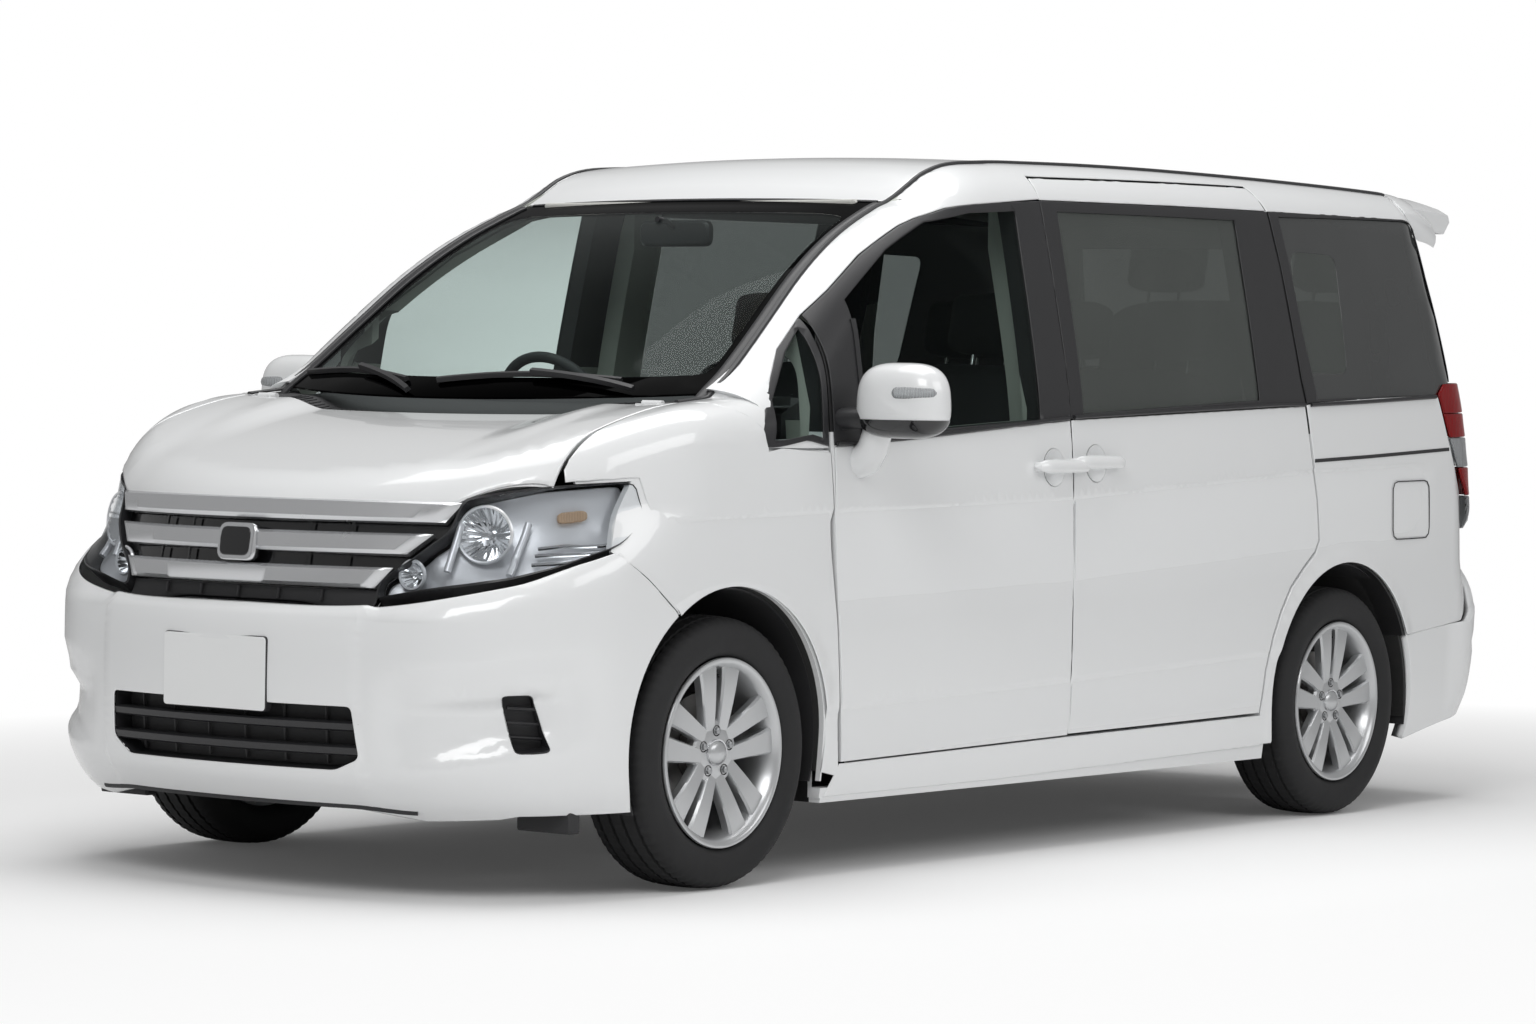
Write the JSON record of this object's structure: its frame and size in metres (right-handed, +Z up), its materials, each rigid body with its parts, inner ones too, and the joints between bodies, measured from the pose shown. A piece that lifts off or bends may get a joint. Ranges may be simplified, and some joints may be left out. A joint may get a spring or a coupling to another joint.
{
  "type": "minivan",
  "caption": "White seven-seat family minivan with sliding rear doors, three-bar grille, clear lamps, opening hood, front doors and tailgate, and steered front wheels.",
  "frame": {"origin": "on the ground under the middle of the car", "axes": "+X to the car's left, -Y to its front, +Z up"},
  "size_m": [2.23, 4.6911, 1.8301],
  "materials": {
    "body_paint": "gloss",
    "black_trim": "satin",
    "bumper_paint": "gloss",
    "grille_chrome": "satin",
    "dark_glass": "polished",
    "clear_glass": "polished",
    "lamp_glass": "polished",
    "red_lamp": "gloss",
    "alloy": "satin",
    "tyre_rubber": "matte",
    "seat_cloth": "woven",
    "interior": "grained",
    "underbody": "matte",
    "bare_metal": "matte",
    "pipe_steel": "brushed",
    "plate_white": "satin"
  },
  "bodies": {
    "body_shell": {"body_side_left": "body_paint", "body_side_right": "body_paint", "sliding_door_left": "body_paint", "sliding_door_right": "body_paint", "side_glass": "dark_glass", "front_fenders": "body_paint", "headlamps": "lamp_glass", "tail_lamps": "red_lamp", "roof_panel": "body_paint", "windscreen": "clear_glass", "cowl": "black_trim", "front_bumper": "bumper_paint", "upper_grille": "grille_chrome", "lower_grille": "black_trim", "rear_bumper": "bumper_paint", "floor_pan": "underbody", "dashboard": "interior", "front_seats": "seat_cloth", "rear_seats": "seat_cloth", "front_subframe": "underbody", "rear_axle": "bare_metal", "exhaust": "pipe_steel", "engine_block": "bare_metal", "front_plate": "plate_white"},
    "hood": {"hood": "body_paint"},
    "tailgate": {"tailgate": "body_paint", "tailgate_glass": "dark_glass"},
    "steering_wheel": {"steering_wheel": "interior"},
    "door_left": {"front_door_left": "body_paint", "front_door_glass_left": "clear_glass", "door_mirror_left": "bumper_paint"},
    "steering_knuckle_left": {"knuckle_left": "bare_metal"},
    "wheel_front_left": {"front_wheel_left": "alloy", "front_tyre_left": "tyre_rubber"},
    "wheel_rear_left": {"rear_wheel_left": "alloy", "rear_tyre_left": "tyre_rubber"},
    "door_right": {"front_door_right": "body_paint", "front_door_glass_right": "clear_glass", "door_mirror_right": "bumper_paint"},
    "steering_knuckle_right": {"knuckle_right": "bare_metal"},
    "wheel_front_right": {"front_wheel_right": "alloy", "front_tyre_right": "tyre_rubber"},
    "wheel_rear_right": {"rear_wheel_right": "alloy", "rear_tyre_right": "tyre_rubber"}
  },
  "joints": [
    {"name": "steering_turn", "type": "hinge", "parent": "body_shell", "child": "steering_wheel", "pos_m": [-0.375, -0.67, 1.105], "axis": [0, 0.9063, 0.4226], "range_deg": [-510, 510]},
    {"name": "steer_left", "type": "hinge", "parent": "body_shell", "child": "steering_knuckle_left", "pos_m": [0.68, -1.47, 0.2], "axis": [-0.1595, 0, 0.9872], "range_deg": [-34, 34]},
    {"name": "door_left_hinge", "type": "hinge", "parent": "body_shell", "child": "door_left", "pos_m": [0.82283, -1.00719, 0.7], "axis": [0, 0, -1], "range_deg": [0, 50]},
    {"name": "wheel_front_left_spin", "type": "hinge", "parent": "steering_knuckle_left", "child": "wheel_front_left", "pos_m": [0.7375, -1.47, 0.326], "axis": [1, 0, 0], "continuous": true},
    {"name": "wheel_rear_left_spin", "type": "hinge", "parent": "body_shell", "child": "wheel_rear_left", "pos_m": [0.7375, 1.385, 0.326], "axis": [1, 0, 0], "continuous": true},
    {"name": "steer_right", "type": "hinge", "parent": "body_shell", "child": "steering_knuckle_right", "pos_m": [-0.68, -1.47, 0.2], "axis": [0.1595, 0, 0.9872], "range_deg": [-34, 34]},
    {"name": "door_right_hinge", "type": "hinge", "parent": "body_shell", "child": "door_right", "pos_m": [-0.82283, -1.00719, 0.7], "axis": [0, 0, 1], "range_deg": [0, 50]},
    {"name": "wheel_front_right_spin", "type": "hinge", "parent": "steering_knuckle_right", "child": "wheel_front_right", "pos_m": [-0.7375, -1.47, 0.326], "axis": [1, 0, 0], "continuous": true},
    {"name": "wheel_rear_right_spin", "type": "hinge", "parent": "body_shell", "child": "wheel_rear_right", "pos_m": [-0.7375, 1.385, 0.326], "axis": [1, 0, 0], "continuous": true},
    {"name": "hood_hinge", "type": "hinge", "parent": "body_shell", "child": "hood", "pos_m": [0, -1.51375, 1.153], "axis": [-1, 0, 0], "range_deg": [0, 50]},
    {"name": "tailgate_hinge", "type": "hinge", "parent": "body_shell", "child": "tailgate", "pos_m": [0, 1.976, 1.824], "axis": [1, 0, 0], "range_deg": [0, 85]}
  ],
  "couplings": [
    {"joint": "steer_left", "follows": "steering_turn", "ratio": 0.066667},
    {"joint": "steer_right", "follows": "steering_turn", "ratio": 0.066667}
  ]
}
